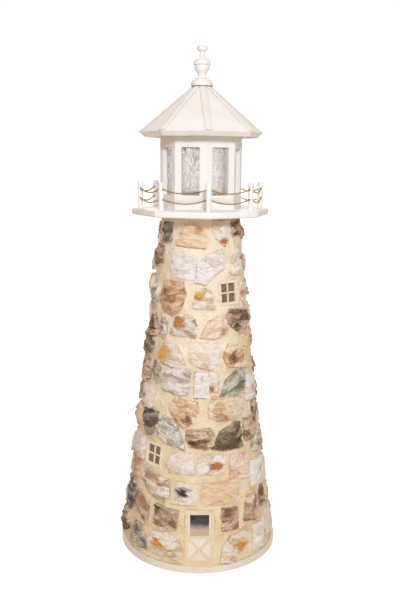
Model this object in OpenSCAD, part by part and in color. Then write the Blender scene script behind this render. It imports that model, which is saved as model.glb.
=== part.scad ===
// Garden lighthouse: a hollow fieldstone-and-mortar tower on a round plate, with an
// octagonal board gallery, a glazed lantern room, a hipped roof and a turned finial.
// Millimetres, +Z up, origin at the centre of the underside, door facing -Y.

/* [Base plate] */
// How far the round base plate stands out from the tower's foot
base_ledge = 9; // [4:0.5:40]
// Thickness of the base plate
base_t = 19; // [12:0.5:30]
// Chamfer round the plate's top edge
base_chamfer = 2; // [0.5:0.5:5]

/* [Tower] */
// Height of the masonry, from base plate to gallery
tower_h = 1015; // [900:5:1200]
// Radius of the mortar face at the foot
tower_foot_r = 236; // [225:1:240]
// Radius of the mortar face under the gallery
tower_head_r = 115; // [108:1:130]
// How far the tower's side is hollowed below a straight line, at mid height
tower_hollow = 7; // [2:0.5:12]
// Thickness of the masonry wall
wall_t = 35; // [28:1:50]

/* [Windows] */
// Outer width of a window frame
window_w = 68; // [50:1:70]
// Outer height of a window frame
window_h = 71; // [50:1:80]
// Face width of the frame members
window_bar_w = 8; // [5:0.5:10]
// Depth of a window frame
window_depth = 16; // [12:1:24]
// How far the frame stands out of the mortar
window_proud = 1; // [0:0.5:3]
// Height of the upper window's centre
upper_window_z = 815; // [700:5:900]
// Angle from the door round to the upper window
upper_window_angle = 36; // [33:0.5:43]
// Height of the lower window's centre
lower_window_z = 328; // [250:5:450]
// Angle from the door round to the lower window
lower_window_angle = -45; // [-53:0.5:-43]
// Thickness of a window or door pane
pane_t = 2; // [1.5:0.5:4]

/* [Door] */
// Width of the door leaf
door_w = 67; // [55:1:75]
// Height of the door and its casing along the sloping wall
door_h = 167; // [140:1:200]
// Face width of the door casing
casing_w = 9; // [6:0.5:12]
// Depth of the door casing
casing_depth = 18; // [14:1:26]
// How far the casing stands out of the mortar
casing_proud = 1; // [0:0.5:3]
// Thickness of the door leaf
leaf_t = 7; // [5:0.5:10]
// Width of the leaf's rim round its glazed half
leaf_rim_w = 5.5; // [4:0.5:8]
// Height of the glazed half
door_glass_h = 63; // [50:1:75]
// Width of the crossbuck's bars and rails
crossbuck_w = 7.5; // [5:0.5:10]
// Thickness of the crossbuck's bars and rails
crossbuck_t = 2.5; // [1.5:0.5:4]

/* [Gallery] */
// Width of the octagonal deck across its flats
deck_flats = 381; // [365:1:420]
// Thickness of the deck board
deck_t = 19; // [12:0.5:30]
// Chamfer round the deck's edges
deck_chamfer = 3; // [1:0.5:5]
// Diameter of a rail post
post_d = 16; // [13:0.5:20]
// Height of a rail post
post_h = 78; // [72:1:100]
// Chamfer round a post's top
post_chamfer = 2.5; // [1:0.5:4]
// Distance of the posts from the tower's axis
post_ring_r = 180; // [172:1:184]
// Height of the lower chain's holes over the deck
lower_hole_h = 31; // [26:1:36]
// Height of the upper chain's holes over the deck
upper_hole_h = 59; // [52:1:62]
// Diameter of the chain holes
hole_d = 6.4; // [6:0.2:8]
// Diameter over the chain's links
chain_d = 4.6; // [3:0.2:5]
// Sag of a chain between two posts
chain_sag = 10.5; // [5:0.5:15]

/* [Lantern room] */
// Angle from the door round to the octagonal top's first corner
head_angle = 5.5; // [0:0.5:10]
// Width of the lantern room across its flats
lantern_flats = 224; // [205:1:250]
// Height of the lantern room's outer face
lantern_h = 245; // [225:1:290]
// Thickness of the lantern room's boards
lantern_t = 12.7; // [10:0.1:16]
// Width of a glazed opening
opening_w = 54; // [40:1:60]
// Height of a glazed opening
opening_h = 135; // [110:1:150]
// Height of the openings' sill over the deck
opening_sill = 41; // [30:1:55]
// Corner radius of the openings
opening_corner_r = 4; // [2:0.5:8]
// Thickness of the lantern glass
lantern_pane_t = 3; // [2:0.5:4]
// How far the lantern glass laps its opening on each side
pane_lap = 7; // [4:0.5:8]

/* [Roof] */
// Width of the roof across its flats, at the eave's top edge
roof_flats = 336; // [310:1:360]
// Pitch of the roof boards
roof_pitch = 42.3; // [36:0.1:48]
// Thickness of the roof boards
roof_t = 19; // [14:0.5:24]
// Width across the flat cut at the top of the roof
roof_top_flats = 48; // [42:1:54]
// Width of the strips that cap the hips
hip_w = 22; // [16:0.5:23]
// Height of a strip's face over the hip
hip_rise = 1.5; // [1:0.5:6]

/* [Finial] */
// Radius of the finial's foot
finial_foot_r = 29; // [27:0.5:31]
// Radius of the bell over the foot
finial_bell_r = 32; // [31:0.5:36]
// Height of the foot's rim
finial_rim_h = 5; // [3:0.5:8]
// Height of the bell over the rim
finial_bell_h = 15; // [12:0.5:20]
// Radius of the collar over the bell
finial_collar_r = 20; // [17:0.5:24]
// Height of the collar
finial_collar_h = 4; // [3:0.5:9]
// Radius of the waist over the collar
finial_waist_r = 11.5; // [9:0.5:14]
// Height of the scotia between collar and waist
finial_scotia_h = 7; // [5:0.5:10]
// Radius of the vase where it meets the bead
finial_vase_r = 22.5; // [19:0.5:25]
// Height of the vase
finial_vase_h = 29; // [20:0.5:35]
// Radius of the bead round the vase's top
finial_bead_r = 26; // [25.5:0.5:29]
// Height of the bead
finial_bead_h = 5; // [4:0.5:9]
// Radius of the shoulder's top
finial_shoulder_r = 13.5; // [10:0.5:16]
// Height of the shoulder over the bead
finial_shoulder_h = 13; // [9:0.5:18]
// Radius of the neck
finial_neck_r = 7; // [5:0.5:9]
// Height of the neck, from the shoulder to the ball
finial_neck_h = 19; // [15:0.5:28]
// Radius of the ball
finial_ball_r = 15.5; // [12:0.5:18]
// Height of the ball
finial_ball_h = 20.3; // [16:0.1:24]

/* [Hidden] */
SIDES = 8;
STEP = 360 / SIDES;
HALF = STEP / 2;

// One overrun serves every cut, and one length clears the whole round.
over = 1;
base_r = tower_foot_r + base_ledge;
clear = 2 * base_r;
// Clearance between the chain and the bottom of its holes.
chain_gap = 0.3;
// Rings on each chain span, and corners round the chain.
span_rings = 9;
chain_sides = 8;
// Bands down the tower's curved side.
tower_bands = 10;
// Points round a quarter curve of the finial.
curve_points = 6;

deck_z = base_t + tower_h;
deck_top = deck_z + deck_t;
lantern_apothem = lantern_flats / 2;
lantern_inner = lantern_apothem - lantern_t;
roof_apothem = roof_flats / 2;
slope = tan(roof_pitch);
// Height of the eave's top edge: the boards' underside meets the lantern's outer face.
eave_z = deck_top + lantern_h + roof_t / cos(roof_pitch) - (roof_apothem - lantern_apothem) * slope;
apex_z = eave_z + roof_apothem * slope;
roof_top_z = apex_z - roof_top_flats / 2 * slope;

// Size of a window's glass between its frame members.
window_sight_w = window_w - 2 * window_bar_w;
window_sight_h = window_h - 2 * window_bar_w;

// Turns at which the round wall is divided: half way from the door to each window, as far
// again beyond it, and the rest of the round in three.
left_seam = 1.5 * lower_window_angle;
right_seam = 1.5 * upper_window_angle;
back_turn = (STEP * SIDES + left_seam - right_seam) / 3;
wall_seams = [
    left_seam, lower_window_angle / 2, upper_window_angle / 2, right_seam,
    right_seam + back_turn, right_seam + 2 * back_turn, right_seam + 3 * back_turn
];
wall_names = ["front_left", "front", "front_right", "right", "back", "left"];
side_index = [for (i = [1 : SIDES]) i];

// Radius of the mortar face at height z, a straight taper hollowed by a shallow curve.
function mortar_r(z) =
    let (t = (z - base_t) / tower_h)
    tower_foot_r + (tower_head_r - tower_foot_r) * t - 4 * tower_hollow * t * (1 - t);

// Lean of the mortar face at height z, in degrees from upright.
function mortar_lean(z) = atan((mortar_r(z - over) - mortar_r(z + over)) / (2 * over));

// A quarter curve between two profile points, bulging or hollow, as [radius, height] points.
function quarter(from, to, bulge) = [
    for (i = [0 : curve_points])
        let (a = 90 * i / curve_points, s = bulge ? sin(a) : 1 - cos(a), c = bulge ? 1 - cos(a) : sin(a))
        [from[0] + (to[0] - from[0]) * c, from[1] + (to[1] - from[1]) * s]
];

// Places its children, modelled facing -Y, at a turn round the tower's axis.
module at_turn(turn) {
    rotate([0, 0, turn]) children();
}

// Places its children on the mortar face at height z, leaning with it.
module on_wall(turn, z) {
    at_turn(turn) translate([0, -mortar_r(z), z]) rotate([-mortar_lean(z), 0, 0]) children();
}

// A box centred on X and Z that runs from one depth to another behind the wall's face.
module wall_box(w, h, from, to) {
    translate([-w / 2, from, -h / 2]) cube([w, to - from, h]);
}

// An octagonal prism with flats of the given apothem, one corner facing -Y.
module octagon(apothem, h) {
    rotate([0, 0, -90]) cylinder(r = apothem / cos(HALF), h = h, $fn = SIDES);
}

module base_plate() {
    color("ivory") rotate_extrude($fn = 180) polygon([
        [0, 0], [base_r, 0], [base_r, base_t - base_chamfer], [base_r - base_chamfer, base_t], [0, base_t]
    ]);
}

// Every opening through the masonry, cut to the frames that fill it.
module wall_openings() {
    for (w = [[upper_window_angle, upper_window_z], [lower_window_angle, lower_window_z]])
        on_wall(w[0], w[1]) wall_box(window_w, window_h, -wall_t, 2 * wall_t);
    on_wall(0, door_mid_z) translate([0, 0, -casing_w])
        wall_box(door_w + 2 * casing_w, door_h + 2 * casing_w, -wall_t, 2 * wall_t);
}

// A segment of the round masonry wall between two turns.
module tower_wall(from, to) {
    heights = [for (i = [0 : tower_bands]) base_t + tower_h * i / tower_bands];
    outer = [for (z = heights) [mortar_r(z), z]];
    inner = [for (i = [tower_bands : -1 : 0]) [mortar_r(heights[i]) - wall_t, heights[i]]];
    color("wheat") difference() {
        rotate([0, 0, from - 90]) rotate_extrude(angle = to - from, $fn = 180)
            polygon(concat(outer, inner));
        wall_openings();
    }
}

// A window's frame, set in its opening.
module window_frame(turn, z) {
    color("antiquewhite") on_wall(turn, z) difference() {
        wall_box(window_w, window_h, -window_proud, window_depth - window_proud);
        wall_box(window_sight_w, window_sight_h, -window_proud - over, window_depth);
    }
}

// A window's pane, held half way through its frame.
module window_pane(turn, z) {
    middle = window_depth / 2 - window_proud;
    color("lightsteelblue", 0.5) on_wall(turn, z)
        wall_box(window_sight_w, window_sight_h, middle - pane_t / 2, middle + pane_t / 2);
}

// The door stands on the base plate: its middle is half its sloping height above it.
door_mid_z = base_t + door_h / 2 * cos(mortar_lean(base_t + door_h / 2));
leaf_h = door_h - 2 * casing_w;
leaf_face = crossbuck_t - casing_proud;
glass_w = door_w - 2 * leaf_rim_w;
glass_mid = leaf_h / 2 - leaf_rim_w - door_glass_h / 2;
// The crossbuck fills the leaf below the glass.
buck_top = glass_mid - door_glass_h / 2;
buck_h = buck_top + leaf_h / 2;

// Keeps the part of its children that lies over the base plate.
module over_base() {
    intersection() {
        children();
        translate([-clear / 2, -clear / 2, base_t]) cube(clear);
    }
}

module door_casing() {
    color("antiquewhite") over_base() on_wall(0, door_mid_z) difference() {
        translate([0, 0, -casing_w / 2])
            wall_box(door_w + 2 * casing_w, door_h + casing_w, -casing_proud, casing_depth - casing_proud);
        wall_box(door_w, leaf_h, -casing_proud - over, casing_depth);
    }
}

module door_leaf() {
    color("white") on_wall(0, door_mid_z) difference() {
        wall_box(door_w, leaf_h, leaf_face, leaf_face + leaf_t);
        translate([0, 0, glass_mid])
            wall_box(glass_w, door_glass_h, leaf_face - over, leaf_face + leaf_t + over);
    }
}

// Two rails and a diagonal cross on the face of the leaf's lower half.
module door_crossbuck() {
    panel_h = buck_h - 2 * crossbuck_w;
    diagonal = atan(panel_h / door_w);
    color("antiquewhite") on_wall(0, door_mid_z) translate([0, 0, buck_top - buck_h / 2]) {
        for (end = [-1, 1])
            translate([0, 0, end * (buck_h - crossbuck_w) / 2])
                wall_box(door_w, crossbuck_w, -casing_proud, leaf_face);
        intersection() {
            wall_box(door_w, buck_h - crossbuck_w, -casing_proud, leaf_face);
            union() for (side = [-1, 1])
                rotate([0, side * diagonal, 0]) wall_box(2 * door_w, crossbuck_w, -casing_proud, leaf_face);
        }
    }
}

module door_pane() {
    middle = leaf_face + leaf_t / 2;
    color("lightsteelblue", 0.5) on_wall(0, door_mid_z) translate([0, 0, glass_mid])
        wall_box(glass_w, door_glass_h, middle - pane_t / 2, middle + pane_t / 2);
}

module gallery_deck() {
    apothem = deck_flats / 2;
    color("seashell") at_turn(head_angle) translate([0, 0, deck_z]) hull() {
        translate([0, 0, deck_chamfer]) octagon(apothem, deck_t - 2 * deck_chamfer);
        octagon(apothem - deck_chamfer, deck_t);
    }
}

// A round post at a corner of the deck, drilled for the two chains.
module rail_post(i) {
    r = post_d / 2;
    turn = head_angle + STEP * (i - 1);
    color("seashell") at_turn(turn) translate([0, -post_ring_r, deck_top]) difference() {
        rotate_extrude($fn = 48)
            polygon([[0, 0], [r, 0], [r, post_h - post_chamfer], [r - post_chamfer, post_h], [0, post_h]]);
        for (h = [lower_hole_h, upper_hole_h])
            translate([-post_d, 0, h]) rotate([0, 90, 0]) cylinder(d = hole_d, h = 2 * post_d, $fn = 32);
    }
}

// A point at a turn and radius, moved sideways along the tangent.
function ring_point(turn, r, along, z) = [
    r * sin(turn) + along * cos(turn), -r * cos(turn) + along * sin(turn), z
];

// The chain's line for a hole height: straight through each post, then a sagging span to the next.
function chain_line(h) = [
    for (i = [0 : SIDES - 1])
        let (
            turn = head_angle + STEP * i,
            z = deck_top + h - hole_d / 2 + chain_d / 2 + chain_gap,
            exit = post_d / 2 + chain_d / 2,
            from = ring_point(turn, post_ring_r, exit, z),
            to = ring_point(turn + STEP, post_ring_r, -exit, z)
        )
        for (k = [0 : span_rings])
            let (t = k / span_rings)
            from + (to - from) * t - [0, 0, 4 * chain_sag * t * (1 - t)]
];

// A closed tube of the given radius along a closed line of points.
module closed_tube(line, r, sides) {
    count = len(line);
    points = [
        for (i = [0 : count - 1])
            let (
                ahead = line[(i + 1) % count] - line[(i + count - 1) % count],
                forward = ahead / norm(ahead),
                across = cross([0, 0, 1], forward) / norm(cross([0, 0, 1], forward)),
                up = cross(forward, across)
            )
            for (k = [0 : sides - 1])
                line[i] + r * (across * cos(360 * k / sides) + up * sin(360 * k / sides))
    ];
    faces = [
        for (i = [0 : count - 1])
            for (k = [0 : sides - 1])
                let (a = i * sides, b = (i + 1) % count * sides, n = (k + 1) % sides)
                [a + k, a + n, b + n, b + k]
    ];
    polyhedron(points, faces, convexity = SIDES);
}

module rail_chain(h) {
    color("darkgoldenrod") closed_tube(chain_line(h), chain_d / 2, chain_sides);
}

// A rounded opening through a board, centred on X and standing on Z = 0.
module rounded_opening(w, h, r, depth) {
    translate([r - w / 2, 0, 0]) cube([w - 2 * r, depth, h]);
    translate([-w / 2, 0, r]) cube([w, depth, h - 2 * r]);
    for (x = [r - w / 2, w / 2 - r], z = [r, h - r])
        translate([x, 0, z]) rotate([-90, 0, 0]) cylinder(r = r, h = depth, $fn = 32);
}

// Everything over the plane of the roof boards' underside, for the side facing -Y.
module over_underside() {
    translate([0, -lantern_apothem, deck_top + lantern_h]) rotate([roof_pitch, 0, 0])
        translate([-clear, -clear, 0]) cube([2 * clear, 2 * clear, clear]);
}

// A mitred board of the lantern room, bevelled at the top to carry the roof.
module lantern_panel(i) {
    outer = lantern_apothem * tan(HALF);
    inner = lantern_inner * tan(HALF);
    color("seashell") at_turn(head_angle + STEP * (i - 0.5)) difference() {
        translate([0, 0, deck_top]) linear_extrude(lantern_h + lantern_t * slope) polygon([
            [-outer, -lantern_apothem], [outer, -lantern_apothem],
            [inner, -lantern_inner], [-inner, -lantern_inner]
        ]);
        translate([0, -lantern_apothem - over, deck_top + opening_sill])
            rounded_opening(opening_w, opening_h, opening_corner_r, lantern_t + 2 * over);
        over_underside();
    }
}

// Eight sheets of glass, each against the back of its board.
module lantern_panes() {
    w = opening_w + 2 * pane_lap;
    h = opening_h + 2 * pane_lap;
    color("lightsteelblue", 0.5) for (i = side_index)
        at_turn(head_angle + STEP * (i - 0.5))
            translate([-w / 2, -lantern_inner, deck_top + opening_sill - pane_lap])
                cube([w, lantern_pane_t, h]);
}

// The wedge of space that one side of the octagon fills.
module side_wedge() {
    reach = roof_flats;
    half_w = reach * tan(HALF);
    linear_extrude(apex_z + over) polygon([[0, 0], [-half_w, -reach], [half_w, -reach]]);
}

// A sloping slab whose top face is a roof plane, square cut at the eave.
module roof_slab() {
    translate([0, -roof_apothem, eave_z]) rotate([roof_pitch, 0, 0])
        translate([-roof_flats, 0, -roof_t]) cube([2 * roof_flats, roof_flats, roof_t]);
}

// Everything under the roof plane of the side facing -Y.
module under_roof() {
    translate([0, -roof_apothem, eave_z]) rotate([roof_pitch, 0, 0])
        translate([-roof_flats, -roof_flats, -roof_flats]) cube([2 * roof_flats, 2 * roof_flats, roof_flats]);
}

// Everything over the flat cut at the roof's top.
module over_roof_top() {
    translate([-roof_flats / 2, -roof_flats / 2, roof_top_z]) cube(roof_flats);
}

// A mitred roof board.
module roof_panel(i) {
    color("seashell") at_turn(head_angle + STEP * (i - 0.5)) difference() {
        intersection() {
            roof_slab();
            side_wedge();
        }
        over_roof_top();
    }
}

// Strips that cap the hips, hollowed underneath to sit on both boards.
module roof_hip_strips() {
    hip_reach = roof_apothem / cos(HALF);
    hip_pitch = atan(slope * cos(HALF));
    edge_drop = hip_rise + hip_w;
    color("linen") for (i = side_index) at_turn(head_angle + STEP * (i - 1)) difference() {
        translate([0, -hip_reach, eave_z]) rotate([hip_pitch, 0, 0])
            translate([-hip_w / 2, 0, -edge_drop]) cube([hip_w, roof_flats, edge_drop + hip_rise]);
        for (side = [-1, 1]) at_turn(side * HALF) under_roof();
        translate([0, 0, eave_z]) cylinder(r = finial_foot_r, h = roof_flats, $fn = 96);
        over_roof_top();
    }
}

module roof_finial() {
    z1 = finial_rim_h;
    z2 = z1 + finial_bell_h;
    z3 = z2 + finial_collar_h;
    z4 = z3 + finial_scotia_h;
    z5 = z4 + finial_vase_h;
    z6 = z5 + finial_bead_h;
    z7 = z6 + finial_shoulder_h;
    z8 = z7 + finial_neck_h;
    z9 = z8 + finial_ball_h;
    ball_mid = (z8 + z9) / 2;
    color("seashell") translate([0, 0, roof_top_z]) rotate_extrude($fn = 96) polygon(concat(
        [[0, 0], [finial_foot_r, 0]],
        quarter([finial_foot_r, 0], [finial_bell_r, z1], false),
        quarter([finial_bell_r, z1], [finial_collar_r, z2], true),
        [[finial_collar_r, z3]],
        quarter([finial_collar_r, z3], [finial_waist_r, z4], false),
        quarter([finial_waist_r, z4], [finial_vase_r, z5], false),
        quarter([finial_vase_r, z5], [finial_bead_r, (z5 + z6) / 2], false),
        quarter([finial_bead_r, (z5 + z6) / 2], [finial_shoulder_r, z7], true),
        quarter([finial_shoulder_r, z7], [finial_neck_r, z8], false),
        quarter([finial_neck_r, z8], [finial_ball_r, ball_mid], false),
        quarter([finial_ball_r, ball_mid], [0, z9], true)
    ));
}

base_plate();
for (i = [0 : len(wall_names) - 1])
    tower_wall(wall_seams[i], wall_seams[i + 1]);
window_frame(upper_window_angle, upper_window_z);  // upper_window_frame
window_pane(upper_window_angle, upper_window_z);  // upper_window_pane
window_frame(lower_window_angle, lower_window_z);  // lower_window_frame
window_pane(lower_window_angle, lower_window_z);  // lower_window_pane
door_casing();
door_leaf();
door_crossbuck();
door_pane();
gallery_deck();
for (i = side_index)
    rail_post(i);
rail_chain(upper_hole_h);  // upper_rail_chain
rail_chain(lower_hole_h);  // lower_rail_chain
for (i = side_index)
    lantern_panel(i);
lantern_panes();
for (i = side_index)
    roof_panel(i);
roof_hip_strips();
roof_finial();
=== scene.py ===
import math
import random

import bmesh
import bpy
from mathutils import Matrix, Vector, noise


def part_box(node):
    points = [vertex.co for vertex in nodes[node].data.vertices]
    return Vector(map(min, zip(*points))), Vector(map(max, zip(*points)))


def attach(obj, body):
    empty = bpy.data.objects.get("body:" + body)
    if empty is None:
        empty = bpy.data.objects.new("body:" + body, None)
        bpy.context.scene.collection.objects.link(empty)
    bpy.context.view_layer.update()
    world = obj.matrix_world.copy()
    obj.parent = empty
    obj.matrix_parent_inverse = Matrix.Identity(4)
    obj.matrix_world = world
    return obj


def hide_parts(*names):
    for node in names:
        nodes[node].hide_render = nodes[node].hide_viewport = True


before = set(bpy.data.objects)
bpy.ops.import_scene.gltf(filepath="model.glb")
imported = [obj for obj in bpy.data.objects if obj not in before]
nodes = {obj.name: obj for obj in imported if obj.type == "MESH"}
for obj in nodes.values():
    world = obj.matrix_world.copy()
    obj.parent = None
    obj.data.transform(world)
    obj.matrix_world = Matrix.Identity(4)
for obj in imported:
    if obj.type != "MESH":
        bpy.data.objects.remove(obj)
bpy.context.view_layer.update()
scene = bpy.context.scene
mm = 0.001
print("frame loaded:", len(nodes), "nodes")


# Colour and shader helpers

def rgb(code):  # sRGB hex to linear
    parts = [int(code[i:i + 2], 16) / 255 for i in (1, 3, 5)]
    return [c / 12.92 if c <= 0.04045 else ((c + 0.055) / 1.055) ** 2.4 for c in parts] + [1.0]


def grey(level):
    return [level, level, level, 1.0]


def feed(tree, sockets, sources):  # links each source to the socket that it feeds
    for name, source in sources.items():
        tree.links.new(source, sockets[name])


def addNode(tree, kind, settings=None, links=None):  # one node, its settings and what feeds it
    node = tree.nodes.new("ShaderNode" + kind)
    for name, value in (settings or {}).items():
        if name == "stops":
            places, colours = value
            ramp = node.color_ramp.elements
            while len(ramp) < len(places):
                ramp.new(1.0)
            for stop, place, colour in zip(ramp, places, colours):
                stop.position = place
                stop.color = colour
        elif isinstance(name, int) or name in node.inputs:
            node.inputs[name].default_value = value
        else:
            setattr(node, name, value)
    feed(tree, node.inputs, links or {})
    return node.outputs


def startMaterial(name, sockets):  # a Principled material, its sockets and Object coordinates
    material = bpy.data.materials.new(name)
    material.use_nodes = True
    tree = material.node_tree
    shader = tree.nodes["Principled BSDF"].inputs
    for socket, value in sockets.items():
        shader[socket].default_value = value
    return material, tree, shader, addNode(tree, "TexCoord")["Object"]


# Satin enamel on planed boards: near white, faintly warm, with soft brush lines and a few dull
# patches that break up the sheen. The brush lines are drawn coarser than real, so that they show.
def makeEnamel(name, main, second, shine):
    finish = {"patch": 70 * mm, "patchSpan": (0.3, 0.75), "brush": 5 * mm, "stretch": 0.06, "roughSpan": 0.12}
    material, tree, shader, place = startMaterial(name, {"IOR": 1.48, "Specular IOR Level": 0.4})
    patch = addNode(tree, "TexNoise", {"Scale": 1 / finish["patch"], "Detail": 4.0}, {"Vector": place})["Fac"]
    tone = addNode(tree, "ValToRGB", {"stops": (finish["patchSpan"], [rgb(main), rgb(second)])},
                   {"Fac": patch})["Color"]
    rough = addNode(tree, "MapRange", {"To Min": shine, "To Max": shine + finish["roughSpan"]},
                    {"Value": patch})["Result"]
    along = addNode(tree, "Mapping", {"Scale": (1, 1, finish["stretch"])}, {"Vector": place})["Vector"]
    brush = addNode(tree, "TexNoise", {"Scale": 1 / finish["brush"], "Detail": 3.0}, {"Vector": along})["Fac"]
    bump = addNode(tree, "Bump", {"Strength": 0.12, "Distance": 0.4 * mm}, {"Height": brush})["Normal"]
    feed(tree, shader, {"Base Color": tone, "Roughness": rough, "Normal": bump})
    return material


boardEnamel = makeEnamel("satin_enamel_on_board", "#F6F0EB", "#F0E8E0", shine=0.42)
plateEnamel = makeEnamel("weathered_enamel_on_plate", "#EEE4D7", "#E5D8C8", shine=0.5)
trimEnamel = makeEnamel("cream_enamel_on_trim", "#EDD9B4", "#E3CA9F", shine=0.55)
sashEnamel = makeEnamel("ivory_enamel_on_sash", "#F3E6D2", "#E8D8BE", shine=0.5)
hipEnamel = makeEnamel("satin_enamel_on_strip", "#F2EAE2", "#EDE3D9", shine=0.45)
# painted shade: a darker enamel for the hip strips' chamfered edges, where shadow falls in the joint
jointShadeEnamel = makeEnamel("painted_shade_in_joint", "#D9CBBC", "#CDBCAA", shine=0.6)
doorEnamel = makeEnamel("white_enamel_on_door", "#EFE5DA", "#E6D9CC", shine=0.45)


# Lime and sand mortar, sponged smooth: cream, cloudy where the lime dried, sandy close to, and paler towards
# the top and darker towards the foot, as painted light and shade. The sand is drawn coarser than real, so
# that it shows.
def makeMortar():
    finish = {
        "cloud": 60 * mm, "cloudSpan": (0.3, 0.5, 0.72), "smear": 11 * mm,
        # the lower tones are darker as painted shade, the upper ones paler as painted light
        "paintedShade": ("#E4CB9F", "#F0DAB3", "#F7E8CD"), "paintedLight": ("#F1DEBE", "#F9E9D0", "#FCF1DF"),
        "low": 0.2, "high": 0.95,  # heights in metres, between which it goes from painted shade to painted light
        "sand": 4 * mm, "sandSpan": (0.34, 0.48), "sandShade": 0.82, "sandShare": 0.3,
    }
    material, tree, shader, place = startMaterial("lime_sand_mortar", {
        "Roughness": 0.88, "Specular IOR Level": 0.25})
    cloud = addNode(tree, "TexNoise", {"Scale": 1 / finish["cloud"], "Detail": 5.0, "Roughness": 0.6},
                    {"Vector": place})["Fac"]
    smear = addNode(tree, "TexNoise", {"Scale": 1 / finish["smear"], "Detail": 4.0, "Roughness": 0.6},
                    {"Vector": place})["Fac"]
    sand = addNode(tree, "TexNoise", {"Scale": 1 / finish["sand"], "Detail": 2.0}, {"Vector": place})["Fac"]
    shadeToLight = {}
    for state in ("paintedShade", "paintedLight"):
        tones = [rgb(tone) for tone in finish[state]]
        shadeToLight[state] = addNode(tree, "ValToRGB", {"stops": (finish["cloudSpan"], tones)},
                              {"Fac": cloud})["Color"]
    # painted light and shade: by height, from the darker tones at the foot to the paler ones at the top
    height = addNode(tree, "SeparateXYZ", {}, {"Vector": place})["Z"]
    litShare = addNode(tree, "MapRange", {"From Min": finish["low"], "From Max": finish["high"]},
                     {"Value": height})["Result"]
    cream = addNode(tree, "MixRGB", {},
                    {"Fac": litShare, "Color1": shadeToLight["paintedShade"], "Color2": shadeToLight["paintedLight"]})["Color"]
    shades = [grey(finish["sandShade"]), grey(1.0)]
    grit = addNode(tree, "ValToRGB", {"stops": (finish["sandSpan"], shades)}, {"Fac": sand})["Color"]
    sandy = addNode(tree, "MixRGB", {"blend_type": "MULTIPLY", "Fac": finish["sandShare"]},
                    {"Color1": cream, "Color2": grit})["Color"]
    wave = addNode(tree, "Bump", {"Strength": 1.0, "Distance": 6 * mm}, {"Height": smear})["Normal"]
    fine = addNode(tree, "Bump", {"Strength": 0.8, "Distance": 1.5 * mm},
                   {"Height": sand, "Normal": wave})["Normal"]
    feed(tree, shader, {"Base Color": sandy, "Normal": fine})
    return material


limeMortar = makeMortar()

# Field stones, split and weathered: each kind runs from a dark through a main to a light tone along
# its bedding, and has one stained patch a stone, where iron or lichen has come through. Crack says
# how dark its seams are, and grit how much its grains differ. A film of mortar is left on the rim.
# The grains are drawn coarser than real, so that they show.
stoneKinds = {
    "slate": dict(tones=("#5A544E", "#787068", "#AEA496"), stain="#856448", crack=0.7, grit=0.4),
    "granite": dict(tones=("#A59D94", "#CCC4BA", "#F6EDDF"), stain="#888178", crack=0.2, grit=0.9),
    "greyGranite": dict(tones=("#86796E", "#A2968A", "#C9BDB1"), stain="#6E6257", crack=0.3, grit=1.0),
    "rustStone": dict(tones=("#8A684E", "#B6967C", "#E3C5A8"), stain="#624634", crack=0.9, grit=0.6),
    "brownStone": dict(tones=("#795944", "#AA896F", "#DBBDA4"), stain="#533C2E", crack=0.9, grit=0.5),
    "redStone": dict(tones=("#B58562", "#D8AA84", "#F4CEAB"), stain="#895E46", crack=0.7, grit=0.5),
    "sandstone": dict(tones=("#EFC99F", "#F8D7B1", "#F8E1C5"), stain="#D19969", crack=0.35, grit=0.15),
    "ochreStone": dict(tones=("#D8C3B4", "#F0DDCF", "#F8EADF"), stain="#EDB266", crack=0.4, grit=0.25),
    "oliveStone": dict(tones=("#5C4D3D", "#837157", "#AF9E83"), stain="#453B2E", crack=1.0, grit=0.6),
    "mossStone": dict(tones=("#857C6C", "#AEA490", "#DBD0BE"), stain="#686151", crack=0.8, grit=0.6),
    "lilacStone": dict(tones=("#BDACA6", "#DDCEC6", "#F8ECE6"), stain="#9C7D6D", crack=0.5, grit=0.35),
    "mauveStone": dict(tones=("#A88061", "#C9A587", "#F0D7BF"), stain="#855E45", crack=0.7, grit=0.5),
    "quartz": dict(tones=("#E9DBCC", "#F8EDE2", "#F8F3ED"), stain="#D6BEA6", crack=0.3, grit=0.15),
    "rustyQuartz": dict(tones=("#E9D6C0", "#F8EAD9", "#F8EFE5"), stain="#C07D45", crack=0.4, grit=0.2),
    "pinkStone": dict(tones=("#E2B693", "#F8D9BE", "#F8E3D0"), stain="#CF8C59", crack=0.45, grit=0.3),
    "creamStone": dict(tones=("#EDD8C3", "#F8E8D7", "#F8EEE3"), stain="#DDBE9F", crack=0.25, grit=0.1),
    "sootyStone": dict(tones=("#E8D0B5", "#F8E6CF", "#F8ECDC"), stain="#403A35", crack=0.3, grit=0.15),
    "goldQuartz": dict(tones=("#DABE9A", "#F3DFC5", "#F8EDDD"), stain="#DE9945", crack=0.45, grit=0.25),
    "lilacQuartz": dict(tones=("#BA9D85", "#E2CAB6", "#F8EAE2"), stain="#C68956", crack=0.6, grit=0.25),
    "rustSandstone": dict(tones=("#CA9A71", "#E7BF99", "#F8E1C6"), stain="#8A593D", crack=0.6, grit=0.3),
}


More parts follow.
